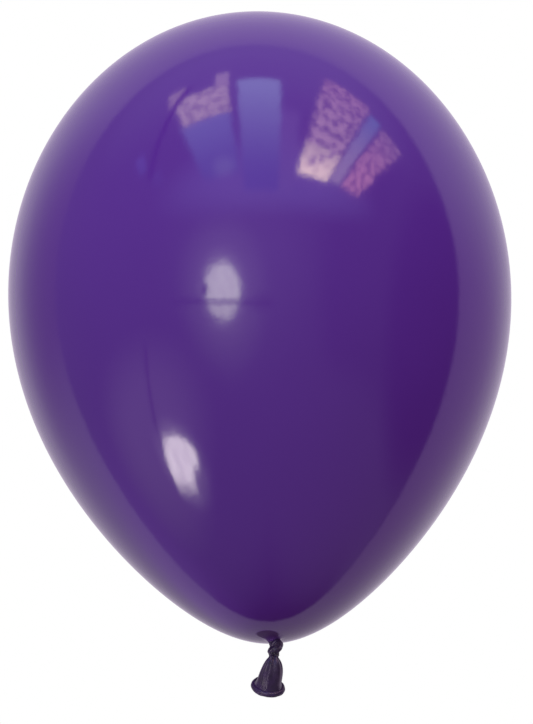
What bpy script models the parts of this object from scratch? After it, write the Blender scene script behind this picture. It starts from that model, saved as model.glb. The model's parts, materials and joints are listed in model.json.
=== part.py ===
"""A round latex party balloon, inflated and tied off, in metres with +Z up.

The origin is the neck tie, the pole where the inflated film gathers into the neck. A balloon
is one dipped skin of rubber, so each object here is a zone of that skin with its own job:
the inflated film, the thick collar round its throat, the twisted stem inside the collar,
the overhand knot, the flared tail below it and the rolled bead round the mouth.
"""

import math

import bmesh
import bpy
import numpy as np

MM = 0.001
GAP = 0.3 * MM

# The inflated film is a turned pear: u runs from the crown, 0, to the neck's pole, pi
BELLY_RADIUS = 139.5 * MM
HALF_HEIGHT = 184.0 * MM
PEAR = (1.0, 0.143, -0.137, 0.064)
BELLY_WALL = 0.010 * MM
CROWN_WALL = 0.030 * MM
CROWN_SPOT = 25.0 * MM
THROAT_WALL = 0.30 * MM
THROAT_REACH = 4.0 * MM
FILM_SIDES = 48
FILM_RINGS = 30

# The collar is a thick funnel of rubber that stretched little
COLLAR_RADIUS = 6.4 * MM
COLLAR_WALL = 0.40 * MM
SLEEVE_RADIUS = 2.75 * MM
SLEEVE_DROP = 1.2 * MM
SLEEVE_FLARE = 0.8 * MM
COLLAR_SIDES = 32
COLLAR_RINGS = 9

# The stem turns in the collar, and its lower end is a dish round the knot's upper ball
STEM_RADIUS = 2.15 * MM
STEM_TOP = 0.9 * MM
STEM_BOTTOM = -1.5 * MM
STEM_ROUND = 0.5 * MM
STEM_SIDES = 24

# The overhand knot, tied in a rope of gathered rubber
STRAND_RADIUS = 1.03 * MM
STRAND_PITCH = 2 * STRAND_RADIUS + GAP
KNOT_TOP = -1.9 * MM
KNOT_MIDDLE = -5.6 * MM
KNOT_BOTTOM = -10.4 * MM
KNOT_TURN = math.radians(60)
KNOT_SIDES = 10
KNOT_RINGS = 60
ROPE_POINTS = 90
ROPE_ROUNDS = 700

# The tail leaves the knot and bends back as it widens
TAIL_LENGTH = 17.2 * MM
TAIL_WAIST = 2.65 * MM
TAIL_SWELL = 4.3 * MM
TAIL_REACH = 6.5 * MM
TAIL_LIP = 0.5 * MM
TAIL_WALL = 0.35 * MM
TAIL_PLUG = 3.4 * MM
TAIL_SHOULDER = 1.6 * MM
TAIL_DISH_EDGE = math.radians(60)
WAIST_TILT = math.radians(20)
MOUTH_TILT = math.radians(51)
TAIL_LEAN = math.radians(13.5)
TAIL_SIDES = 32
TAIL_RINGS = 11
DISH_RINGS = 4

# The bead is the mouth's edge, rolled up on itself
BEAD_RADIUS = 8.3 * MM
BEAD_HALF_THICKNESS = 0.95 * MM
BEAD_PLACE = 17.6 * MM
BEAD_SECTION = 10


def clear_scene():
    for old in list(bpy.data.objects):
        bpy.data.objects.remove(old, do_unlink=True)


def latex(name, colour, roughness):
    """Dyed natural rubber: no metal, a glossy skin where it is stretched and satin where it is slack."""
    material = bpy.data.materials.new(name)
    material.use_nodes = True
    shader = material.node_tree.nodes["Principled BSDF"]
    shader.inputs["Base Color"].default_value = (*colour, 1.0)
    shader.inputs["Roughness"].default_value = roughness
    shader.inputs["Metallic"].default_value = 0.0
    return material


def loft(name, rings, material, pivot, start_tip=None, end_tip=None):
    """A closed skin through rings of points. Without tips, its last ring joins its first."""
    mesh_maker = bmesh.new()
    loops = [[mesh_maker.verts.new(point - pivot) for point in ring] for ring in rings]
    pairs = list(zip(loops, loops[1:]))
    if start_tip is None:
        pairs.append((loops[-1], loops[0]))
    for upper, lower in pairs:
        for i in range(len(upper)):
            mesh_maker.faces.new((upper[i - 1], upper[i], lower[i], lower[i - 1]))
    if start_tip is not None:
        for tip, loop in ((start_tip, loops[0][::-1]), (end_tip, loops[-1])):
            point = mesh_maker.verts.new(tip - pivot)
            for i in range(len(loop)):
                mesh_maker.faces.new((loop[i - 1], loop[i], point))
    if mesh_maker.calc_volume(signed=True) < 0:
        bmesh.ops.reverse_faces(mesh_maker, faces=mesh_maker.faces)
    mesh = bpy.data.meshes.new(name)
    mesh_maker.to_mesh(mesh)
    mesh_maker.free()
    mesh.shade_smooth()
    mesh.set_sharp_from_angle(angle=math.radians(40))
    mesh.materials.append(material)
    piece = bpy.data.objects.new(name, mesh)
    piece.location = pivot
    bpy.context.scene.collection.objects.link(piece)
    return piece


def ring_about(centre, across, along, radius, sides):
    """Points of a circle of this radius in the plane of two unit vectors."""
    turns = np.linspace(0, 2 * math.pi, sides, endpoint=False)[:, None]
    return centre + radius * (np.cos(turns) * across + np.sin(turns) * along)


def turned(profile, sides):
    """Rings about the Z axis from (radius, height) pairs."""
    x_way, y_way, z_way = np.eye(3)
    return [ring_about(z * z_way, x_way, y_way, r, sides) for r, z in profile]


def on_axis(height):
    return np.array((0.0, 0.0, height))


def film_radius(u):
    swell = sum(k * math.cos(u) ** power for power, k in enumerate(PEAR))
    return BELLY_RADIUS * math.sin(u) * swell


def film_height(u):
    return HALF_HEIGHT * (1 + math.cos(u))


def film_angle_at(radius):
    """The angle u below the belly where the film has this radius, by halving."""
    low, high = math.pi / 2, math.pi
    while high - low > 1e-9:
        middle = (low + high) / 2
        if film_radius(middle) > radius:
            low = middle
        else:
            high = middle
    return low


def film_wall(u):
    """Stretched thin on the belly, thicker in a spot at the crown and towards the throat."""
    radius = film_radius(u)
    if u < math.pi / 2:
        return BELLY_WALL + (CROWN_WALL - BELLY_WALL) * math.exp(-((radius / CROWN_SPOT) ** 2))
    past_throat = radius - COLLAR_RADIUS
    return BELLY_WALL + (THROAT_WALL - BELLY_WALL) * math.exp(-past_throat / THROAT_REACH)


def make_envelope(material):
    last = film_angle_at(COLLAR_RADIUS + GAP)
    step = 1e-4
    outer, inner = [], []
    for u in np.linspace(0, last, FILM_RINGS + 1)[1:]:
        slope = np.array(
            (
                film_radius(u + step) - film_radius(u - step),
                film_height(u + step) - film_height(u - step),
            )
        )
        slope /= np.linalg.norm(slope)
        inward = np.array((slope[1], -slope[0]))
        point = np.array((film_radius(u), film_height(u)))
        outer.append(point)
        inner.append(point + film_wall(u) * inward)
    crown = film_height(0)
    return loft(
        "envelope",
        turned(outer + inner[::-1], FILM_SIDES),
        material,
        on_axis(0),
        on_axis(crown),
        on_axis(crown - film_wall(0)),
    )


def collar_height(radius):
    """The film's own height, dropping away in a funnel towards the sleeve."""
    film = film_height(film_angle_at(radius))
    return film - SLEEVE_DROP * math.exp(-(radius - SLEEVE_RADIUS) / SLEEVE_FLARE)


def make_neck_collar(material):
    step = 1e-6
    upper, lower = [], []
    for radius in np.linspace(COLLAR_RADIUS, SLEEVE_RADIUS, COLLAR_RINGS):
        rise = (collar_height(radius + step) - collar_height(radius - step)) / (2 * step)
        outward = np.array((-rise, 1.0)) / math.hypot(rise, 1.0)
        point = np.array((radius, collar_height(radius)))
        upper.append(point + outward * COLLAR_WALL / 2)
        lower.append(point - outward * COLLAR_WALL / 2)
    return loft("neck_collar", turned(upper + lower[::-1], COLLAR_SIDES), material, on_axis(0))


def dish(radius, edge_angle, rings):
    """(radius, height) of a hollow ball cap about its centre, from its rim to near its top."""
    angles = np.linspace(edge_angle, 0, rings + 1)[:-1]
    return [(radius * math.sin(a), radius * math.cos(a)) for a in angles]


def make_neck_stem(material):
    dish_radius = STRAND_RADIUS + GAP
    edge_angle = math.acos((STEM_BOTTOM - KNOT_TOP) / dish_radius)
    profile = [
        (STEM_RADIUS - STEM_ROUND, STEM_TOP),
        (STEM_RADIUS, STEM_TOP - STEM_ROUND),
        (STEM_RADIUS, STEM_BOTTOM + STEM_ROUND),
        (STEM_RADIUS - STEM_ROUND / 2, STEM_BOTTOM),
    ]
    profile += [(r, KNOT_TOP + z) for r, z in dish(dish_radius, edge_angle, DISH_RINGS)]
    return loft(
        "neck_stem",
        turned(profile, STEM_SIDES),
        material,
        on_axis(0),
        on_axis(STEM_TOP),
        on_axis(KNOT_TOP + dish_radius),
    )


def evenly_spaced(route, count):
    lengths = np.linalg.norm(np.diff(route, axis=0), axis=1)
    along = np.concatenate(([0.0], np.cumsum(lengths)))
    wanted = np.linspace(0, along[-1], count)
    return np.stack([np.interp(wanted, along, route[:, k]) for k in range(3)], axis=1)


def slack_overhand():
    """The trefoil curve of three polynomials, opened, with a straight lead from each end."""
    t = np.linspace(-2.15, 2.15, ROPE_POINTS)
    loop = np.stack((t**3 - 3 * t, t**4 - 4 * t**2 + 2, t**5 / 5 - 2 * t), axis=1)
    loop = loop * 0.75 * STRAND_PITCH + on_axis(KNOT_MIDDLE)
    return evenly_spaced(np.vstack((on_axis(KNOT_BOTTOM), loop, on_axis(KNOT_TOP))), ROPE_POINTS)


def tight_overhand():
    """Pulls the knot tight: the rope shortens until its strands lie one pitch apart."""
    rope = slack_overhand()
    order = np.arange(ROPE_POINTS)
    apart = np.abs(order[:, None] - order[None, :])
    for _ in range(ROPE_ROUNDS):
        rope[1:-1] += 0.35 * ((rope[:-2] + rope[2:]) / 2 - rope[1:-1])
        for _ in range(2):
            spacing = np.linalg.norm(np.diff(rope, axis=0), axis=1).mean()
            between = rope[:, None] - rope[None, :]
            distance = np.linalg.norm(between, axis=2) + 1e-12
            crossing = (apart * spacing > 1.5 * STRAND_PITCH) & (distance < STRAND_PITCH)
            push = np.where(crossing, (STRAND_PITCH - distance) / 2, 0.0)
            shares = np.sqrt(np.maximum(crossing.sum(axis=1), 1))[:, None]
            rope += (push[..., None] * between / distance[..., None]).sum(axis=1) / shares
        rope[0], rope[-1] = on_axis(KNOT_BOTTOM), on_axis(KNOT_TOP)
        rope = evenly_spaced(rope, ROPE_POINTS)
    turn = np.array(
        (
            (math.cos(KNOT_TURN), -math.sin(KNOT_TURN), 0.0),
            (math.sin(KNOT_TURN), math.cos(KNOT_TURN), 0.0),
            (0.0, 0.0, 1.0),
        )
    )
    return rope[::-1] @ turn.T


def make_neck_knot(material):
    route = evenly_spaced(tight_overhand(), KNOT_RINGS)
    ways = np.gradient(route, axis=0)
    ways /= np.linalg.norm(ways, axis=1)[:, None]
    side = np.array((1.0, 0.0, 0.0))
    frames = []
    for way in ways:
        side = side - way * side.dot(way)
        side /= np.linalg.norm(side)
        frames.append((side, np.cross(way, side)))
    rings = [
        ring_about(point, *frame, STRAND_RADIUS, KNOT_SIDES) for point, frame in zip(route, frames)
    ]
    caps = []
    for end, way in ((0, -ways[0]), (-1, ways[-1])):
        cap = [
            ring_about(
                route[end] + way * STRAND_RADIUS * math.sin(lift),
                *frames[end],
                STRAND_RADIUS * math.cos(lift),
                KNOT_SIDES,
            )
            for lift in np.radians((30, 60))
        ]
        caps.append((cap, route[end] + way * STRAND_RADIUS))
    (upper_cap, upper_tip), (lower_cap, lower_tip) = caps
    return loft(
        "neck_knot",
        upper_cap[::-1] + rings + lower_cap,
        material,
        on_axis(KNOT_TOP),
        upper_tip,
        lower_tip,
    )


def tail_frame(along):
    """Place and axes of the tail's bent centreline at this length from the knot's lower ball."""
    bend = (MOUTH_TILT - WAIST_TILT) / TAIL_LENGTH
    tilt = WAIST_TILT + bend * along
    out = (math.cos(WAIST_TILT) - math.cos(tilt)) / bend
    down = (math.sin(tilt) - math.sin(WAIST_TILT)) / bend
    drop_way = np.array((-math.sin(TAIL_LEAN), 0.0, -math.cos(TAIL_LEAN)))
    back_way = np.array((0.0, 1.0, 0.0))
    side = np.array((math.cos(TAIL_LEAN), 0.0, -math.sin(TAIL_LEAN)))
    centre = on_axis(KNOT_BOTTOM) + out * back_way + down * drop_way
    way = math.sin(tilt) * back_way + math.cos(tilt) * drop_way
    return centre, side, np.cross(way, side), way


def tail_ring(along, radius):
    centre, side, front, _ = tail_frame(along)
    return ring_about(centre, side, front, radius, TAIL_SIDES)


def tail_radius(along):
    """Outer radius: a waist under the knot, a swelling bell and a lip turned out to the bead."""
    past = max(along - TAIL_SHOULDER, 0.0)
    bell = TAIL_WAIST + TAIL_SWELL * (1 - math.exp(-past / TAIL_REACH))
    return bell + TAIL_LIP * (along / TAIL_LENGTH) ** 8


def make_neck_tail(material):
    dish_radius = STRAND_RADIUS + GAP
    hollow = dish(dish_radius, TAIL_DISH_EDGE, DISH_RINGS)[::-1]
    rings = [tail_ring(along, radius) for radius, along in hollow]
    rim_radius, rim_along = hollow[-1]
    for lift in np.radians((10, 40, 65)):
        radius = rim_radius + (TAIL_WAIST - rim_radius) * math.sin(lift)
        along = rim_along + (TAIL_SHOULDER - rim_along) * (1 - math.cos(lift))
        rings.append(tail_ring(along, radius))
    outer = np.linspace(TAIL_SHOULDER, TAIL_LENGTH, TAIL_RINGS)
    inner = np.linspace(TAIL_LENGTH, TAIL_PLUG, TAIL_RINGS - 1)
    rings += [tail_ring(along, tail_radius(along)) for along in outer]
    rings += [tail_ring(along, tail_radius(along) - TAIL_WALL) for along in inner]
    return loft(
        "neck_tail",
        rings,
        material,
        on_axis(KNOT_BOTTOM),
        tail_frame(dish_radius)[0],
        tail_frame(TAIL_PLUG - TAIL_WALL)[0],
    )


def make_mouth_bead(material):
    centre, side, front, way = tail_frame(BEAD_PLACE)
    rings = []
    for turn in np.linspace(0, 2 * math.pi, BEAD_SECTION, endpoint=False):
        middle = centre + way * BEAD_HALF_THICKNESS * math.sin(turn)
        radius = BEAD_RADIUS + BEAD_HALF_THICKNESS * math.cos(turn)
        rings.append(ring_about(middle, side, front, radius, TAIL_SIDES))
    return loft("mouth_bead", rings, material, on_axis(KNOT_BOTTOM))


def main():
    clear_scene()
    stretched = latex("violet_stretched_latex", (0.085, 0.030, 0.240), 0.12)
    slack = latex("dark_slack_latex", (0.032, 0.016, 0.066), 0.38)
    make_envelope(stretched)
    for make in (make_neck_collar, make_neck_stem, make_neck_knot, make_neck_tail, make_mouth_bead):
        make(slack)


main()
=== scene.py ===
"""The looks of the tied latex balloon: skin, neck, knot, tail and rolled bead, with its studio.

Lengths are in metres in the row frame: the origin is the neck tie, and +Z runs up to the crown.
"""

import json
import math

import bmesh
import bpy
import numpy as np
from mathutils import Matrix, Vector


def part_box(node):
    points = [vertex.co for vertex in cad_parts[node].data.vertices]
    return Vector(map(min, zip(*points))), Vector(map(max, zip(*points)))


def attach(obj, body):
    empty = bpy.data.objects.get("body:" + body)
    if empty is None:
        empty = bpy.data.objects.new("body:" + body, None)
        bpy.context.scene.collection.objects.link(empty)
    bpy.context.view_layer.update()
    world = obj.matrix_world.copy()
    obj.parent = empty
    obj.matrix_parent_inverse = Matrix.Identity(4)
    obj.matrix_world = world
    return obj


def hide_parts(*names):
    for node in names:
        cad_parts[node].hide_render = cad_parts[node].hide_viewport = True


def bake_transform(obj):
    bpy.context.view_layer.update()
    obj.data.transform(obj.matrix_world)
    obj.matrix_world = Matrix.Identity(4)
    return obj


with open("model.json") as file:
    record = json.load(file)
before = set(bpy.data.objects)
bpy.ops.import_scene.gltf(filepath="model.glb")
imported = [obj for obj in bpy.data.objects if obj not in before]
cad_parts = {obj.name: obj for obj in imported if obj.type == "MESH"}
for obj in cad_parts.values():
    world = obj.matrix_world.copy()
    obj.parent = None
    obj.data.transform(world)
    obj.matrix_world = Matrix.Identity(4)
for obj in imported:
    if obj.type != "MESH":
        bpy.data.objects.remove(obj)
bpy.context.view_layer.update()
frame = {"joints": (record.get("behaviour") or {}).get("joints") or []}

MM = 0.001

# The inflated film: the CAD envelope's pear, turned about Z
PEAR = (1.0, 0.143, -0.137, 0.064)
FILM_SIDES = 288
FILM_ROWS = 170
FUNNEL_ROWS = 46
FUNNEL_REACH = 15.0 * MM
THROAT_RADIUS = 2.5 * MM
THROAT_TAPER = 0.55 * MM
FUNNEL_DROP = 2.3 * MM
FUNNEL_FLARE = 1.1 * MM
NECK_END = -2.3 * MM
# The throat sits a little to the right of the axis
NECK_SHIFT = 0.4 * MM
SHIFT_REACH = 2.5 * MM
# Fine pleats that run down into the throat, on the underside only
UNDERSIDE_TOP = 20 * MM
PLEATS = 13
PLEAT_HEIGHT = 0.08 * MM
PLEAT_REACH = 2.0 * MM
PLEAT_START = 1.5 * MM
PLEAT_TWIST = 0.5

# The darker ring round the throat, its skin pushed out a little, that the knot has pulled a little
# to one side
COLLAR_CENTRE = (-2.5 * MM, -4.85 * MM)
COLLAR_HALF = (6.0 * MM, 4.75 * MM)
NECK_HALF = 4.0 * MM
COLLAR_LIFT = 0.12 * MM
COLLAR_SOFT = 0.12

# The gathered throat inside the skin's end and the knot's top
FOLDS_TOP = -0.7 * MM
FOLDS_BOTTOM = -4.2 * MM
FOLDS_RADIUS = 2.3 * MM
FOLDS_DEPTH = 0.12 * MM
FOLDS_ROWS = 40

# Joint heights, from the record
JOINT_Z = {j["name"]: j["pos_m"][2] for j in frame["joints"]}

STRAND_PITCH = 2.36 * MM
STRAND_RADIUS = 2.3 * MM
KNOT_TOP = JOINT_Z["neck_swing"]
KNOT_BOTTOM = JOINT_Z["tail_swing"]
KNOT_MIDDLE = -5.3 * MM
# The knot is packed tighter than the relaxed route, and its middle bulges to the right
KNOT_SQUEEZE = (0.68, 0.82, 1.0)
KNOT_BULK = 3.2 * MM
KNOT_SHIFT = 1.0 * MM
KNOT_ASIDE = 0.45 * MM
# The share of the strand after which its end rounds off inside the tail
KNOT_ROUND = 0.955
KNOT_VOXEL = 0.11 * MM
KNOT_MELT = 4
ROPE_POINTS = 90
ROPE_ROUNDS = 700

TAIL_LENGTH = 17.2 * MM
TAIL_WAIST = 2.9 * MM
TAIL_PINCH = 0.55 * MM
TAIL_SWELL = 3.85 * MM
TAIL_REACH = 4.6 * MM
TAIL_BOW = 0.6 * MM
TAIL_ASIDE = 0.3 * MM
TAIL_LIP = 1.1 * MM
TAIL_WALL = 0.35 * MM
WAIST_TILT = math.radians(20)
MOUTH_TILT = math.radians(51)
TAIL_LEAN = math.radians(14.3)
BEAD_RADIUS = 7.65 * MM
BEAD_SECTION = 1.6 * MM
BEAD_PLACE = 17.2 * MM
# Grooves of the rolled rim: turn round the section, share of its radius, half width in radians
BEAD_GROOVES = ((4.2, 0.14, 0.20), (0.35, 0.10, 0.16), (2.4, 0.08, 0.2))

# The camera looks up at the balloon from two metres away
CAMERA_DISTANCE = 2.0
CAMERA_ELEVATION = math.radians(-25)
CAMERA_ROLL = math.radians(-2.13)
CAMERA_LENS = 178.3
CAMERA_AIM = (3.1 * MM, -19.1 * MM)
SENSOR_WIDTH = 36
FLOOR_HEIGHT = -2.0
FLOOR_SIZE = 60

# Dark blots on the right window: middle column, lower end and upper end
WINDOW_BLOTS = ((0.219, -0.165, -0.085), (0.250, -0.125, -0.045), (0.279, -0.070, 0.010))
# Strength of the soft light in red, green and blue: left lobe, upper right lobe, even rest
LIGHT_TONES = ((0.76, 1.20, 0.25), (0.84, 1.23, 0.165), (1.01, 1.40, 0.115))
PAPER_LIGHT = 0.45


# ---------------------------------------------------------------- meshes

def mesh_object(name, points, faces, material):
    mesh = bpy.data.meshes.new(name)
    mesh.from_pydata([tuple(p) for p in points], [], faces)
    mesh.update()
    maker = bmesh.new()
    maker.from_mesh(mesh)
    if maker.calc_volume(signed=True) < 0:
        bmesh.ops.reverse_faces(maker, faces=maker.faces)
    maker.to_mesh(mesh)
    maker.free()
    mesh.shade_smooth()
    mesh.materials.append(material)
    piece = bpy.data.objects.new(name, mesh)
    bpy.context.scene.collection.objects.link(piece)
    return piece


def loft(name, rings, material, tips=None):
    """A closed skin through rings of equal count; without tips, the last ring joins the first."""
    rings = [np.asarray(ring) for ring in rings]
    count = len(rings[0])
    points = np.concatenate(rings)
    pairs = [(k, k + 1) for k in range(len(rings) - 1)]
    if tips is None:
        pairs.append((len(rings) - 1, 0))
    faces = []
    for a, b in pairs:
        for i in range(count):
            j = (i + 1) % count
            faces.append((a * count + i, a * count + j, b * count + j, b * count + i))
    if tips is not None:
        first, last = len(points), len(points) + 1
        points = np.vstack((points, tips))
        end = (len(rings) - 1) * count
        for i in range(count):
            j = (i + 1) % count
            faces.append((j, i, first))
            faces.append((end + i, end + j, last))
    return mesh_object(name, points, faces, material)


def circle(centre, radius, turn, side, other):
    """Points at these radii and turns round a centre, in the plane of two unit vectors."""
    return centre + radius[:, None] * (np.cos(turn)[:, None] * side + np.sin(turn)[:, None] * other)


def smooth(x):
    x = np.clip(x, 0, 1)
    return x * x * (3 - 2 * x)


def uneven(turn, count, seed):
    """A wave of count crests round a circle, of uneven width and height."""
    draw = np.random.default_rng(seed)
    warp = turn * 1.0
    for k in (1, 2, 3):
        warp = warp + draw.uniform(0.1, 0.3) / k * np.sin(k * turn + draw.uniform(0, 6.28))
    height = 1.0
    for k in (1, 2, 5):
        height = height + draw.uniform(0.1, 0.35) / k * np.sin(k * turn + draw.uniform(0, 6.28))
    return height * np.cos(count * warp)


# ---------------------------------------------------------------- the film

env_low, env_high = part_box("envelope")
HALF_HEIGHT = env_high.z / 2


def pear(u):
    return np.sin(u) * sum(k * np.cos(u) ** power for power, k in enumerate(PEAR))


BELLY = (env_high.x - env_low.x) / 2 / pear(np.linspace(1, 2, 2001)).max()


def film_radius(u):
    return BELLY * pear(u)


def film_height(u):
    return HALF_HEIGHT * (1 + np.cos(u))


def film_angle_at(radius):
    low, high = math.pi / 2, math.pi
    for _ in range(50):
        middle = (low + high) / 2
        low, high = (middle, high) if film_radius(middle) > radius else (low, middle)
    return low


def collar_share(x, y):
    """1 inside the thick collar, 0 outside, from the place on the underside."""
    centre, half = COLLAR_CENTRE, COLLAR_HALF
    off = np.hypot((x - centre[0]) / half[0], (y - centre[1]) / half[1])
    off = np.minimum(off, np.hypot(x - NECK_SHIFT, y) / NECK_HALF)
    return smooth((1 + COLLAR_SOFT - off) / (2 * COLLAR_SOFT))


def make_skin(material):
    turn = np.linspace(0, 2 * math.pi, FILM_SIDES, endpoint=False)
    last = film_angle_at(FUNNEL_REACH)
    rows = [(film_radius(u), film_height(u)) for u in np.linspace(0, last, FILM_ROWS + 1)[1:]]
    for t in np.linspace(0, 1, FUNNEL_ROWS + 1)[1:]:
        r = THROAT_RADIUS + (FUNNEL_REACH - THROAT_RADIUS) * (1 - t) ** 1.8
        film = film_height(film_angle_at(r))
        rows.append((r, film - FUNNEL_DROP * math.exp(-(r - THROAT_RADIUS) / FUNNEL_FLARE)))
    bottom = rows[-1][1]
    for t in np.linspace(0, 1, 6)[1:]:
        rows.append((THROAT_RADIUS - THROAT_TAPER * t ** 2, bottom + (NECK_END - bottom) * t))
    rings = []
    for r, z in rows:
        ring = np.stack((r * np.cos(turn), r * np.sin(turn), np.full_like(turn, z)), axis=1)
        if z < UNDERSIDE_TOP:
            near = math.exp(-max(r - THROAT_RADIUS, 0) / PLEAT_REACH)
            wave = uneven(turn + PLEAT_TWIST * near, PLEATS, seed=5)
            ring[:, 2] -= PLEAT_HEIGHT * wave * near * smooth((r - THROAT_RADIUS) / PLEAT_START)
            squeeze = PLEAT_HEIGHT * wave * near ** 3
            shift = NECK_SHIFT * math.exp(-((r - THROAT_RADIUS) / SHIFT_REACH) ** 2)
            ring[:, 0] += squeeze * np.cos(turn) + shift
            ring[:, 1] += squeeze * np.sin(turn)
            ring[:, 2] -= COLLAR_LIFT * collar_share(ring[:, 0], ring[:, 1])
        rings.append(ring)
    tips = ((0, 0, film_height(0.0)), (0, 0, NECK_END))
    return loft("skin", rings, material, tips)


# ---------------------------------------------------------------- the neck

def column(name, heights, radii, material, crests, depth, seed, twist, sides=96):
    """A pleated upright column with rounded ends."""
    turn = np.linspace(0, 2 * math.pi, sides, endpoint=False)
    rings = []
    for k, (z, r) in enumerate(zip(heights, radii)):
        part = k / (len(heights) - 1)
        wave = uneven(turn + twist * part, crests, seed)
        rr = r + depth * wave * min(1.0, r / max(radii))
        level = np.full_like(turn, z)
        rings.append(np.stack((NECK_SHIFT + rr * np.cos(turn), rr * np.sin(turn), level), axis=1))
    return loft(name, rings, material, ((NECK_SHIFT, 0, heights[0]), (NECK_SHIFT, 0, heights[-1])))


def make_neck_folds(material):
    heights = np.linspace(FOLDS_TOP, FOLDS_BOTTOM, FOLDS_ROWS)
    part = np.linspace(0, 1, FOLDS_ROWS)
    radii = FOLDS_RADIUS * np.sqrt(np.clip(1 - np.abs(2 * part - 1) ** 8, 0.02, 1))
    return column("neck_folds", heights, radii, material, 9, FOLDS_DEPTH, 9, twist=1.2)


# ---------------------------------------------------------------- the knot

def on_axis(height):
    return np.array((0.0, 0.0, height))


def evenly_spaced(route, count):
    lengths = np.linalg.norm(np.diff(route, axis=0), axis=1)
    along = np.concatenate(([0.0], np.cumsum(lengths)))
    wanted = np.linspace(0, along[-1], count)
    return np.stack([np.interp(wanted, along, route[:, k]) for k in range(3)], axis=1)


def tight_overhand():
    """An overhand's route: a trefoil with two leads, pulled tight until its strands touch."""
    t = np.linspace(-2.15, 2.15, ROPE_POINTS)
    loop = np.stack((t**3 - 3 * t, t**4 - 4 * t**2 + 2, t**5 / 5 - 2 * t), axis=1)
    loop = loop * 0.75 * STRAND_PITCH + on_axis(KNOT_MIDDLE)
    rope = evenly_spaced(np.vstack((on_axis(KNOT_BOTTOM), loop, on_axis(KNOT_TOP))), ROPE_POINTS)
    order = np.arange(ROPE_POINTS)
    apart = np.abs(order[:, None] - order[None, :])
    for _ in range(ROPE_ROUNDS):
        rope[1:-1] += 0.35 * ((rope[:-2] + rope[2:]) / 2 - rope[1:-1])
        for _ in range(2):
            spacing = np.linalg.norm(np.diff(rope, axis=0), axis=1).mean()
            between = rope[:, None] - rope[None, :]
            distance = np.linalg.norm(between, axis=2) + 1e-12
            crossing = (apart * spacing > 1.5 * STRAND_PITCH) & (distance < STRAND_PITCH)
            push = np.where(crossing, (STRAND_PITCH - distance) / 2, 0.0)
            shares = np.sqrt(np.maximum(crossing.sum(axis=1), 1))[:, None]
            rope += (push[..., None] * between / distance[..., None]).sum(axis=1) / shares
        rope[0], rope[-1] = on_axis(KNOT_BOTTOM), on_axis(KNOT_TOP)
        rope = evenly_spaced(rope, ROPE_POINTS)
    rope = rope[::-1]
    middle = np.exp(-((rope[:, 2] - KNOT_MIDDLE + 0.5 * MM) / KNOT_BULK) ** 4)
    rope = rope * np.array(KNOT_SQUEEZE)
    rope[:, 0] += KNOT_SHIFT * middle + KNOT_ASIDE
    return rope


def make_knot(material):
    route = evenly_spaced(tight_overhand(), 220)
    ways = np.gradient(route, axis=0)
    ways /= np.linalg.norm(ways, axis=1)[:, None]
    turn = np.linspace(0, 2 * math.pi, 40, endpoint=False)
    side = np.array((1.0, 0.0, 0.0))
    rings = []
    for k, (point, way) in enumerate(zip(route, ways)):
        side = side - way * side.dot(way)
        side /= np.linalg.norm(side)
        other = np.cross(way, side)
        part = k / (len(route) - 1)
        swell = 1 + 0.05 * math.sin(9 * part) + 0.30 * math.exp(-((1 - part) / 0.06) ** 2)
        swell *= math.sqrt(1 - 0.97 * max((part - KNOT_ROUND) / (1 - KNOT_ROUND), 0) ** 2)
        wave = uneven(turn + 2.5 * part, 7, seed=3)
        radius = STRAND_RADIUS * swell * (1 + 0.06 * wave)
        rings.append(circle(point, radius, turn, side, other))
    tips = (route[0] - 0.3 * MM * ways[0], route[-1] + 0.3 * MM * ways[-1])
    knot = loft("knot", rings, material, tips)
    melt(knot, KNOT_VOXEL, KNOT_MELT)
    return knot


def melt(piece, voxel, rounds):
    """Makes crossing strands one closed skin, and rounds its creases a little."""
    bpy.context.view_layer.objects.active = piece
    remesh = piece.modifiers.new("one_skin", "REMESH")
    remesh.mode = "VOXEL"
    remesh.voxel_size = voxel
    relax = piece.modifiers.new("soft_creases", "SMOOTH")
    relax.factor = 0.5
    relax.iterations = rounds
    graph = bpy.context.evaluated_depsgraph_get()
    mesh = bpy.data.meshes.new_from_object(piece.evaluated_get(graph))
    piece.modifiers.clear()
    piece.data = mesh
    mesh.shade_smooth()


# ---------------------------------------------------------------- the tail

def tail_frame(along):
    bend = (MOUTH_TILT - WAIST_TILT) / TAIL_LENGTH
    tilt = WAIST_TILT + bend * along
    out = (math.cos(WAIST_TILT) - math.cos(tilt)) / bend
    down = (math.sin(tilt) - math.sin(WAIST_TILT)) / bend
    drop_way = np.array((-math.sin(TAIL_LEAN), 0.0, -math.cos(TAIL_LEAN)))
    back_way = np.array((0.0, 1.0, 0.0))
    side = np.array((math.cos(TAIL_LEAN), 0.0, -math.sin(TAIL_LEAN)))
    part = along / TAIL_LENGTH
    bow = TAIL_BOW * math.sin(math.pi * math.sqrt(min(part, 1.0))) + TAIL_ASIDE * (1 - part)
    centre = on_axis(KNOT_BOTTOM) + out * back_way + down * drop_way + bow * side
    way = math.sin(tilt) * back_way + math.cos(tilt) * drop_way
    return centre, side, np.cross(way, side), way


def tail_radius(along):
    """Pinched under the knot, swelling to the bell, and flared at the lip."""
    pinch = TAIL_PINCH * math.exp(-along / (0.45 * MM))
    swell = TAIL_SWELL * (1 - math.exp(-max(along - 0.7 * MM, 0) / TAIL_REACH))
    flare = TAIL_LIP * max(along / TAIL_LENGTH - 0.72, 0) ** 2 / 0.28 ** 2
    return TAIL_WAIST - pinch + swell + flare


def tail_ring(along, shrink=0.0, sides=128):
    centre, side, front, _ = tail_frame(along)
    turn = np.linspace(0, 2 * math.pi, sides, endpoint=False)
    wave = uneven(turn + 0.4 * along / TAIL_LENGTH, 8, seed=21)
    fold = (0.10 + 0.24 * math.exp(-along / (5.0 * MM))) * MM * wave
    return circle(centre, tail_radius(along) - shrink + fold, turn, side, front)


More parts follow.
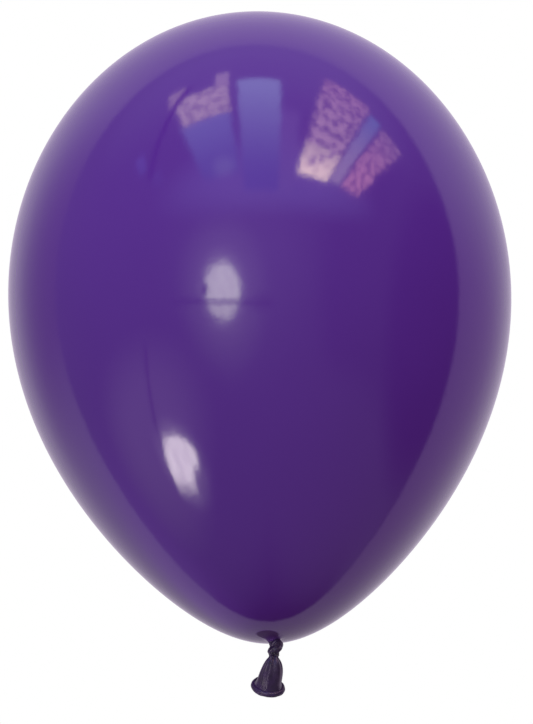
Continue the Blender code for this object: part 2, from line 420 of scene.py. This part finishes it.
def make_tail(material):
    rings = []
    for lift in np.linspace(0.15, 1, 8):
        ring = tail_ring(0.0)
        centre = tail_frame(0.0)[0]
        shrunk = centre + (ring - centre) * math.sin(lift * math.pi / 2)
        rings.append(shrunk + np.array((0, 0, 1.0)) * 1.3 * MM * math.cos(lift * math.pi / 2))
    for along in np.linspace(0.3 * MM, TAIL_LENGTH, 72):
        rings.append(tail_ring(along))
    for along in np.linspace(TAIL_LENGTH, 3.4 * MM, 56):
        rings.append(tail_ring(along, shrink=TAIL_WALL))
    top = tail_frame(0.0)[0] + np.array((0, 0, 1.35 * MM))
    return loft("tail", rings, material, (top, tail_frame(3.0 * MM)[0]))


def make_bead(material):
    centre, side, front, way = tail_frame(BEAD_PLACE)
    rings = []
    hoop = np.linspace(0, 2 * math.pi, 200, endpoint=False)
    lumps = 0.05 * np.sin(3 * hoop + 1) + 0.03 * np.sin(7 * hoop) + 0.02 * np.sin(13 * hoop + 2)
    plump = BEAD_SECTION * (1 + lumps)
    for turn in np.linspace(0, 2 * math.pi, 72, endpoint=False):
        groove = 1.0
        for place, depth, width in BEAD_GROOVES:
            off = (turn - place + math.pi) % (2 * math.pi) - math.pi
            off = off + 0.12 * np.sin(2 * hoop + place)
            groove = groove - depth * np.exp(-(off / width) ** 2)
        radius = BEAD_RADIUS + 0.15 * MM * np.sin(2 * hoop + 0.5) + plump * groove * math.cos(turn)
        rise = plump * groove * math.sin(turn)
        rings.append(circle(centre, radius, hoop, side, front) + rise[:, None] * way)
    return loft("bead", rings, material)


# ---------------------------------------------------------------- node helper

class Graph:
    """Short names for building a node tree."""

    def __init__(self, tree):
        self.tree = tree
        tree.nodes.clear()

    def node(self, kind, settings=None, **inputs):
        made = self.tree.nodes.new(kind)
        for key, value in (settings or {}).items():
            setattr(made, key, value)
        for key, value in inputs.items():
            self.feed(made.inputs[key.replace("_", " ")], value)
        return made

    def feed(self, socket, value):
        if isinstance(value, bpy.types.NodeSocket):
            self.tree.links.new(value, socket)
        else:
            socket.default_value = value

    def math(self, operation, *values):
        made = self.node("ShaderNodeMath", {"operation": operation})
        for socket, value in zip(made.inputs, values):
            self.feed(socket, value)
        return made.outputs[0]

    def dot(self, vector, way):
        made = self.node("ShaderNodeVectorMath", {"operation": "DOT_PRODUCT"})
        self.feed(made.inputs[0], vector)
        self.feed(made.inputs[1], way)
        return made.outputs["Value"]

    def length(self, a, b):
        squares = (self.math("MULTIPLY", side, side) for side in (a, b))
        return self.math("SQRT", self.math("ADD", *squares))

    def tinted(self, value, tones):
        """A colour of these tones times one value."""
        made = self.node("ShaderNodeCombineXYZ")
        for socket, tone in zip(made.inputs, tones):
            self.feed(socket, self.math("MULTIPLY", value, tone))
        return made.outputs[0]

    def ramp(self, value, low, high, out_low=0.0, out_high=1.0):
        """Smooth step from low to high."""
        made = self.node("ShaderNodeMapRange", {"interpolation_type": "SMOOTHSTEP"})
        for socket, entry in zip(made.inputs, (value, low, high, out_low, out_high)):
            self.feed(socket, entry)
        return made.outputs[0]

    def mix(self, share, first, second, blend="MIX"):
        made = self.node("ShaderNodeMix", {"data_type": "RGBA", "blend_type": blend})
        for place, value in ((0, share), (6, first), (7, second)):
            self.feed(made.inputs[place], value)
        return made.outputs[2]


def rgb(r, g, b):
    return (r, g, b, 1.0)


# ---------------------------------------------------------------- materials

def film_material():
    material = bpy.data.materials.new("stretched_latex")
    material.use_nodes = True
    g = Graph(material.node_tree)
    place = g.node("ShaderNodeTexCoord").outputs["Object"]
    mottle = g.node("ShaderNodeTexNoise", Vector=place, Scale=9.0, Detail=3.0, Roughness=0.5)
    fine = g.node("ShaderNodeTexNoise", Vector=place, Scale=140.0, Detail=2.0, Roughness=0.55)
    colour = g.mix(mottle.outputs["Fac"], rgb(0.096, 0.0225, 0.282), rgb(0.108, 0.0265, 0.314))
    axes = g.node("ShaderNodeSeparateXYZ", Vector=place)
    x, y, z = axes.outputs
    # a darker, rougher, less glossy ring in the collar
    off_x = g.math("DIVIDE", g.math("SUBTRACT", x, COLLAR_CENTRE[0]), COLLAR_HALF[0])
    off_y = g.math("DIVIDE", g.math("SUBTRACT", y, COLLAR_CENTRE[1]), COLLAR_HALF[1])
    neck = g.length(g.math("SUBTRACT", x, NECK_SHIFT), y)
    off = g.math("SMOOTH_MIN", g.length(off_x, off_y), g.math("DIVIDE", neck, NECK_HALF), 0.3)
    wobble = g.math("MULTIPLY_ADD", fine.outputs["Fac"], 0.16, -0.08)
    inside = g.ramp(g.math("ADD", off, wobble), 1.10, 0.90)
    low = g.ramp(z, 30 * MM, 20 * MM)
    collar = g.math("MULTIPLY", inside, low)
    colour = g.mix(collar, colour, rgb(0.074, 0.027, 0.156))
    # the crown's nipple spot
    crown = g.ramp(z, 2 * HALF_HEIGHT - 1.6 * MM, 2 * HALF_HEIGHT - 0.05 * MM)
    colour = g.mix(g.math("MULTIPLY", crown, 0.45), colour, rgb(0.040, 0.014, 0.120))
    rough = g.math("MULTIPLY_ADD", mottle.outputs["Fac"], 0.03, 0.075)
    rough = g.math("MULTIPLY_ADD", collar, 0.34, rough)
    gloss = g.math("MULTIPLY_ADD", collar, -0.42, 0.5)
    bump = g.node("ShaderNodeBump", Strength=0.06, Distance=0.0006, Height=fine.outputs["Fac"])
    shader = g.node("ShaderNodeBsdfPrincipled", Base_Color=colour, Roughness=rough, IOR=1.52,
                    Specular_IOR_Level=gloss, Normal=bump.outputs["Normal"])
    g.node("ShaderNodeOutputMaterial", Surface=shader.outputs[0])
    return material


def slack_material(name, tone):
    material = bpy.data.materials.new(name)
    material.use_nodes = True
    g = Graph(material.node_tree)
    place = g.node("ShaderNodeTexCoord").outputs["Object"]
    mottle = g.node("ShaderNodeTexNoise", Vector=place, Scale=320.0, Detail=3.0, Roughness=0.55)
    wrinkle = g.node("ShaderNodeTexNoise", Vector=place, Scale=1500.0, Detail=3.0, Roughness=0.6)
    dark = tuple(0.75 * c for c in tone)
    light = tuple(1.3 * c for c in tone)
    colour = g.mix(g.ramp(mottle.outputs["Fac"], 0.3, 0.7), rgb(*dark), rgb(*light))
    broad = g.node("ShaderNodeTexNoise", Vector=place, Scale=130.0, Detail=1.0)
    share = g.ramp(broad.outputs["Fac"], 0.42, 0.68, 0.0, 0.6)
    colour = g.mix(share, colour, rgb(0.050, 0.018, 0.105))
    # painted shade: a dark band in the crease between knot and tail
    z = g.node("ShaderNodeSeparateXYZ", Vector=place).outputs["Z"]
    crease = g.math("ABSOLUTE", g.math("SUBTRACT", z, KNOT_BOTTOM + 0.7 * MM))
    colour = g.mix(g.ramp(crease, 1.1 * MM, 0.2 * MM, 0.0, 0.65), colour, rgb(0.011, 0.004, 0.020))
    rough = g.math("MULTIPLY_ADD", wrinkle.outputs["Fac"], 0.14, 0.33)
    bump = g.node("ShaderNodeBump", Strength=0.35, Distance=0.00008, Height=wrinkle.outputs["Fac"])
    shader = g.node("ShaderNodeBsdfPrincipled", Base_Color=colour, Roughness=rough, IOR=1.52,
                    Normal=bump.outputs["Normal"])
    g.node("ShaderNodeOutputMaterial", Surface=shader.outputs[0])
    return material


def floor_material():
    material = bpy.data.materials.new("pale_floor")
    material.use_nodes = True
    g = Graph(material.node_tree)
    place = g.node("ShaderNodeTexCoord").outputs["Object"]
    grain = g.node("ShaderNodeTexNoise", Vector=place, Scale=3.0, Detail=2.0)
    colour = g.mix(grain.outputs["Fac"], rgb(0.80, 0.80, 0.80), rgb(0.84, 0.84, 0.84))
    shader = g.node("ShaderNodeBsdfPrincipled", Base_Color=colour, Roughness=0.9)
    g.node("ShaderNodeOutputMaterial", Surface=shader.outputs[0])
    return material


# ---------------------------------------------------------------- studio

def make_world():
    """What shines on the balloon and what its gloss mirrors; the camera itself sees plain white."""
    world = bpy.data.worlds.new("studio")
    bpy.context.scene.world = world
    world.use_nodes = True
    g = Graph(world.node_tree)
    way = g.node("ShaderNodeTexCoord").outputs["Generated"]
    rays = g.node("ShaderNodeLightPath").outputs
    x, y, z = g.node("ShaderNodeSeparateXYZ", Vector=way).outputs

    def facing(towards):
        """Flat coordinates, to the right and up, on a plane square to this direction."""
        to = Vector(towards).normalized()
        side = to.cross(Vector((0, 0, 1))).normalized()
        side = side if side.x > 0 else -side
        up = side.cross(to)
        up = up if up.z > 0 else -up
        depth = g.math("MAXIMUM", g.dot(way, tuple(to)), 0.02)
        across = g.math("DIVIDE", g.dot(way, tuple(side)), depth)
        rise = g.math("DIVIDE", g.dot(way, tuple(up)), depth)
        return across, rise, g.ramp(g.dot(way, tuple(to)), 0.15, 0.25)

    def oval(across, rise, centre, half, soft):
        a = g.math("DIVIDE", g.math("SUBTRACT", across, centre[0]), half[0])
        b = g.math("DIVIDE", g.math("SUBTRACT", rise, centre[1]), half[1])
        return g.ramp(g.length(a, b), 1 + soft, 1 - soft)

    def band(value, low, high, soft):
        above = g.ramp(value, low - soft, low + soft)
        return g.math("MULTIPLY", above, g.ramp(value, high + soft, high - soft))

    def streak(across, rise, start, end, half, soft):
        """A thin bar between two points of the plane."""
        run = Vector((end[0] - start[0], end[1] - start[1]))
        length, run = run.length, run.normalized()
        da, db = g.math("SUBTRACT", across, start[0]), g.math("SUBTRACT", rise, start[1])
        along = g.math("ADD", g.math("MULTIPLY", da, run.x), g.math("MULTIPLY", db, run.y))
        off = g.math("SUBTRACT", g.math("MULTIPLY", db, run.x), g.math("MULTIPLY", da, run.y))
        return g.math("MULTIPLY", band(along, 0, length, 4 * soft), band(off, -half, half, soft))

    def lay(shape, colour, blend="MIX"):
        """Puts a shape of the plane in hand into the mirrored room."""
        nonlocal mirror
        mirror = g.mix(g.math("MULTIPLY", shape, ahead), mirror, colour, blend)

    # the dim room, darker to the right and under the balloon
    right = g.math("MULTIPLY", g.ramp(x, 0.38, 0.58), g.ramp(z, -0.55, -0.35))
    mirror = g.mix(g.math("MULTIPLY", right, 0.5), rgb(0.26, 0.23, 0.36), rgb(0.02, 0.015, 0.03))
    mirror = g.mix(g.ramp(x, 0.82, 0.93), mirror, rgb(0.01, 0.006, 0.015))
    under = g.math("MULTIPLY_ADD", g.math("ABSOLUTE", x), -0.9, y)
    under = g.math("MULTIPLY", g.ramp(under, -0.60, 0.25), g.ramp(z, -0.60, -0.75))
    mirror = g.mix(under, mirror, rgb(0.03, 0.02, 0.04))

    # the white paper hung behind, in shade on the left and warmer on the right
    edge = g.math("MULTIPLY_ADD", g.math("MULTIPLY", z, g.math("MULTIPLY", z, z)), -0.167, y)
    edge = g.math("MULTIPLY_ADD", x, 0.032, g.math("MULTIPLY_ADD", z, 0.387, edge))
    paper = g.ramp(edge, 0.245, 0.295)
    left = g.math("MULTIPLY", g.ramp(x, -0.50, -0.92), g.ramp(z, -0.22, 0.16))
    tone = g.mix(left, rgb(0.70, 0.61, 0.76), rgb(0.36, 0.28, 0.36))
    warm_side = g.math("MULTIPLY", g.ramp(x, 0.40, 0.88), g.ramp(z, 0.60, 0.20))
    tone = g.mix(warm_side, tone, rgb(0.56, 0.42, 0.66))
    mirror = g.mix(paper, mirror, tone)
    # a violet glow low on the left, behind the balloon
    low = g.math("MULTIPLY", g.ramp(x, -0.10, -0.60), g.ramp(z, -0.10, -0.45))
    low = g.math("MULTIPLY", low, g.ramp(y, 0.0, 0.45))
    mirror = g.mix(low, mirror, rgb(0.22, 0.08, 0.48), "ADD")

    # roof windows above and in front, fanning out from the room's far end
    u, v, ahead = facing((0, -1, 1))
    fan = g.math("DIVIDE", u, g.math("ADD", v, 2.0))
    flat = g.node("ShaderNodeCombineXYZ", X=g.math("MULTIPLY", fan, 2.5), Y=v).outputs[0]
    blots = g.node("ShaderNodeTexNoise", Vector=flat, Scale=17.0, Detail=2.0, Roughness=0.6)
    shine = g.tinted(g.ramp(blots.outputs["Fac"], 0.40, 0.58, 0.25, 1.3), (1.0, 1.0, 1.0))

    def pane(columns, rows, lower, upper, soft=(0.010, 0.02), along=fan, patchy=0.0):
        """Glass between two columns and two rows, with its tones at the lower and upper end."""
        shape = g.math("MULTIPLY", band(along, *columns, soft[0]), band(v, *rows, soft[1]))
        glass = g.mix(g.ramp(v, rows[0], rows[1]), rgb(*lower), rgb(*upper))
        if patchy:
            glass = g.mix(patchy, glass, shine, "MULTIPLY")
        lay(shape, glass)

    # a soft glow under the panes, and the ceiling's above them
    lay(oval(u, v, (0.15, -0.30), (0.75, 0.22), 0.6), rgb(0.75, 0.72, 1.7))
    ceiling = oval(u, v, (0.10, 0.72), (1.1, 0.45), 0.6)
    lay(g.math("MULTIPLY", ceiling, 0.8), rgb(0.50, 0.48, 0.75))
    # the left window: blue below, sunlit above, with a paler spot and two sunlit scraps
    pane((-0.217, -0.062), (-0.26, 0.21), (0.35, 0.70, 1.7), (0.95, 1.45, 2.7), (0.012, 0.04))
    lay(oval(u, v, (-0.215, -0.20), (0.075, 0.065), 0.6), rgb(0.6, 0.6, 0.6), "ADD")
    pane((-0.205, -0.060), (0.20, 0.475), (4.2, 3.2, 2.7), (3.8, 2.9, 2.6), (0.006, 0.02),
         patchy=0.6)
    pane((-0.215, -0.135), (0.46, 0.625), (2.7, 2.0, 2.1), (2.5, 1.9, 2.1), (0.008, 0.03), u)
    pane((-0.545, -0.415), (0.455, 0.615), (2.7, 2.0, 1.9), (2.4, 1.8, 1.7), (0.02, 0.03), u, 0.3)
    # the middle window, all blue, with a dimmer strip on its right
    pane((0.150, 0.290), (-0.38, 0.22), (0.85, 0.80, 1.7), (0.75, 0.62, 1.1), (0.03, 0.08), u)
    pane((-0.085, 0.170), (-0.40, 0.50), (0.30, 0.55, 1.7), (1.7, 2.3, 3.4), (0.015, 0.03), u)
    # two dim scraps far on the left, and a dark wire
    pane((-0.950, -0.845), (0.08, 0.245), (0.35, 0.5, 1.4), (0.5, 0.55, 1.7), (0.025, 0.04), u)
    pane((-0.825, -0.725), (-0.115, 0.0), (0.30, 0.34, 0.8), (0.32, 0.36, 0.9), (0.03, 0.04), u)
    lay(streak(u, v, (-0.86, -0.02), (-0.39, 0.585), 0.026, 0.012), rgb(0.02, 0.01, 0.06))
    # the right window: two patterned panes with a blue one between, and three dark blots
    pane((0.172, 0.318), (-0.02, 0.72), (4.2, 2.7, 2.7), (2.5, 1.4, 1.6), (0.006, 0.03),
         patchy=0.95)
    pane((0.172, 0.318), (-0.25, 0.00), (14.0, 10.6, 7.6), (7.0, 5.2, 3.9), (0.006, 0.02),
         patchy=0.3)
    for middle, low_end, high_end in WINDOW_BLOTS:
        pane((middle - 0.009, middle + 0.009), (low_end, high_end),
             (3.6, 2.4, 2.6), (3.0, 2.0, 2.4), (0.003, 0.01))
    pane((0.328, 0.378), (-0.23, 0.64), (3.4, 2.8, 3.2), (0.6, 1.3, 2.3), (0.005, 0.02))
    pane((0.392, 0.515), (-0.24, 0.60), (5.6, 2.4, 2.9), (2.2, 1.3, 1.5), (0.007, 0.03),
         patchy=0.9)

    # a round soft lamp with its glow, and a cord and knob across it
    u, v, ahead = facing((-0.30, -0.95, -0.14))
    lay(oval(u, v, (0.22, 0.14), (0.46, 0.42), 0.95), rgb(0.22, 0.21, 0.28), "ADD")
    halo = g.math("MULTIPLY", oval(u, v, (0.02, 0.0), (0.26, 0.30), 0.75), 0.75)
    lay(halo, rgb(1.0, 0.9, 0.95), "ADD")
    lay(oval(u, v, (0.013, 0.0), (0.17, 0.185), 0.35), rgb(0.85, 0.80, 0.75), "ADD")
    patches = g.node("ShaderNodeTexNoise", Vector=way, Scale=22.0, Detail=2.0).outputs["Fac"]
    dim_foot = g.ramp(g.math("MULTIPLY_ADD", u, 0.14, v), -0.085, -0.045, 0.82, 1.0)
    glare = g.math("MULTIPLY", g.ramp(patches, 0.35, 0.62, 0.86, 1.08), dim_foot)
    lay(oval(u, v, (0.013, -0.004), (0.138, 0.146), 0.20), g.tinted(glare, (8.3, 8.1, 7.2)))
    cord = streak(u, v, (-0.42, -0.010), (0.42, -0.118), 0.012, 0.010)
    knob = oval(u, v, (-0.122, 0.012), (0.024, 0.030), 0.4)
    smear = g.math("MULTIPLY", oval(u, v, (0.32, -0.10), (0.09, 0.04), 0.8), 0.5)
    shaded = g.math("MAXIMUM", g.math("MAXIMUM", g.math("MULTIPLY", cord, 0.85), knob), smear)
    lay(shaded, rgb(0.15, 0.13, 0.22))

    # a flatter lamp low on the left, with its glow and stand
    u, v, ahead = facing((-0.69, -0.32, -0.65))
    halo = g.math("MULTIPLY", oval(u, v, (-0.12, 0.17), (0.48, 0.30), 0.6), 0.55)
    lay(halo, rgb(1.0, 0.8, 1.0), "ADD")
    stand = streak(u, v, (-0.212, -0.015), (0.12, 0.475), 0.012, 0.012)
    lay(g.math("MULTIPLY", stand, 0.9), rgb(0.10, 0.06, 0.12))
    # the lamp leans: its own directions along and across, from -1 to 1 over its face
    along = g.math("MULTIPLY_ADD", u, 4.22, g.math("MULTIPLY_ADD", v, 8.12, 0.018))
    across = g.math("MULTIPLY_ADD", u, 6.46, g.math("MULTIPLY_ADD", v, -2.72, 0.057))
    lay(oval(across, along, (0.10, 0.0), (1.35, 1.30), 0.4), rgb(0.85, 0.80, 0.75), "ADD")
    dim_foot = g.ramp(along, -0.85, -0.50, 0.42, 1.0)
    glare = g.math("MULTIPLY", g.ramp(patches, 0.35, 0.62, 0.85, 1.08), dim_foot)
    foot = g.math("MULTIPLY", band(across, -1.02, 0.43, 0.10), band(along, -1.0, 0.25, 0.12))
    face = g.math("MAXIMUM", oval(across, along, (0.12, 0.24), (1.05, 0.73), 0.14), foot)
    notch = oval(across, along, (0.85, -0.36), (0.27, 0.20), 0.4)
    face = g.math("MULTIPLY", face, g.math("SUBTRACT", 1.0, notch))
    lay(face, g.tinted(glare, (12.6, 11.4, 11.2)))

    # the light that shades the rubber, broad and soft: one lobe from the left, one from above on
    # the right, the paper's own, and an even rest
    def lobe(towards):
        share = g.math("MAXIMUM", g.dot(way, tuple(Vector(towards).normalized())), 0.0)
        return g.math("MULTIPLY", share, share)

    from_left, from_above = lobe((-0.77, -0.64, 0.0)), lobe((0.38, -0.66, 0.64))
    soft_light = g.node("ShaderNodeCombineXYZ")
    for socket, (left_tone, above_tone, rest) in zip(soft_light.inputs, LIGHT_TONES):
        light = g.math("MULTIPLY_ADD", paper, PAPER_LIGHT, rest)
        light = g.math("MULTIPLY_ADD", from_left, left_tone, light)
        g.feed(socket, g.math("MULTIPLY_ADD", from_above, above_tone, light))
    seen = g.mix(rays["Is Glossy Ray"], soft_light.outputs[0], mirror)
    seen = g.mix(rays["Is Camera Ray"], seen, rgb(1.0, 1.0, 1.0))
    shade = g.node("ShaderNodeBackground", Color=seen, Strength=1.0)
    g.node("ShaderNodeOutputWorld", Surface=shade.outputs[0])


def make_floor():
    bpy.ops.mesh.primitive_plane_add(size=FLOOR_SIZE, location=(0, 0, FLOOR_HEIGHT))
    floor = bpy.context.active_object
    floor.name = "floor"
    floor.data.materials.append(floor_material())
    # the world already holds all that the rubber mirrors and is lit by
    floor.visible_glossy = False
    floor.visible_diffuse = False


def make_camera():
    e = CAMERA_ELEVATION
    forward = Vector((0, math.cos(e), -math.sin(e)))
    right, up = Vector((1, 0, 0)), Vector((0, math.sin(e), math.cos(e)))
    c, s = math.cos(CAMERA_ROLL), math.sin(CAMERA_ROLL)
    right, up = c * right + s * up, c * up - s * right
    centre = Vector((0, 0, HALF_HEIGHT))
    place = centre - CAMERA_DISTANCE * forward
    aim = centre + CAMERA_AIM[0] * right + CAMERA_AIM[1] * up
    forward = (aim - place).normalized()
    right = (right - right.dot(forward) * forward).normalized()
    up = right.cross(forward)
    data = bpy.data.cameras.new("camera")
    data.lens = CAMERA_LENS
    data.sensor_width = SENSOR_WIDTH
    data.clip_end = 100
    camera = bpy.data.objects.new("camera", data)
    turn = Matrix((right, up, -forward)).transposed().to_4x4()
    camera.matrix_world = Matrix.Translation(place) @ turn
    bpy.context.scene.collection.objects.link(camera)
    bpy.context.scene.camera = camera


# ---------------------------------------------------------------- the whole

film = film_material()
slack = slack_material("slack_latex", (0.031, 0.0145, 0.053))

skin = make_skin(film)
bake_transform(skin)
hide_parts("envelope", "neck_collar")

folds = make_neck_folds(slack)
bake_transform(folds)
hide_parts("neck_stem")

knot = make_knot(slack)
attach(knot, "knot")
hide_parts("neck_knot")

tail = make_tail(slack)
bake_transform(tail)
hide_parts("neck_tail")

bead = make_bead(slack)
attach(bead, "tail")
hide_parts("mouth_bead")

# the photograph shows no mirror image of the neck in the film
for piece in (folds, knot, tail, bead):
    piece.visible_glossy = False

make_world()
make_floor()
make_camera()
bpy.context.scene.view_settings.view_transform = "Standard"
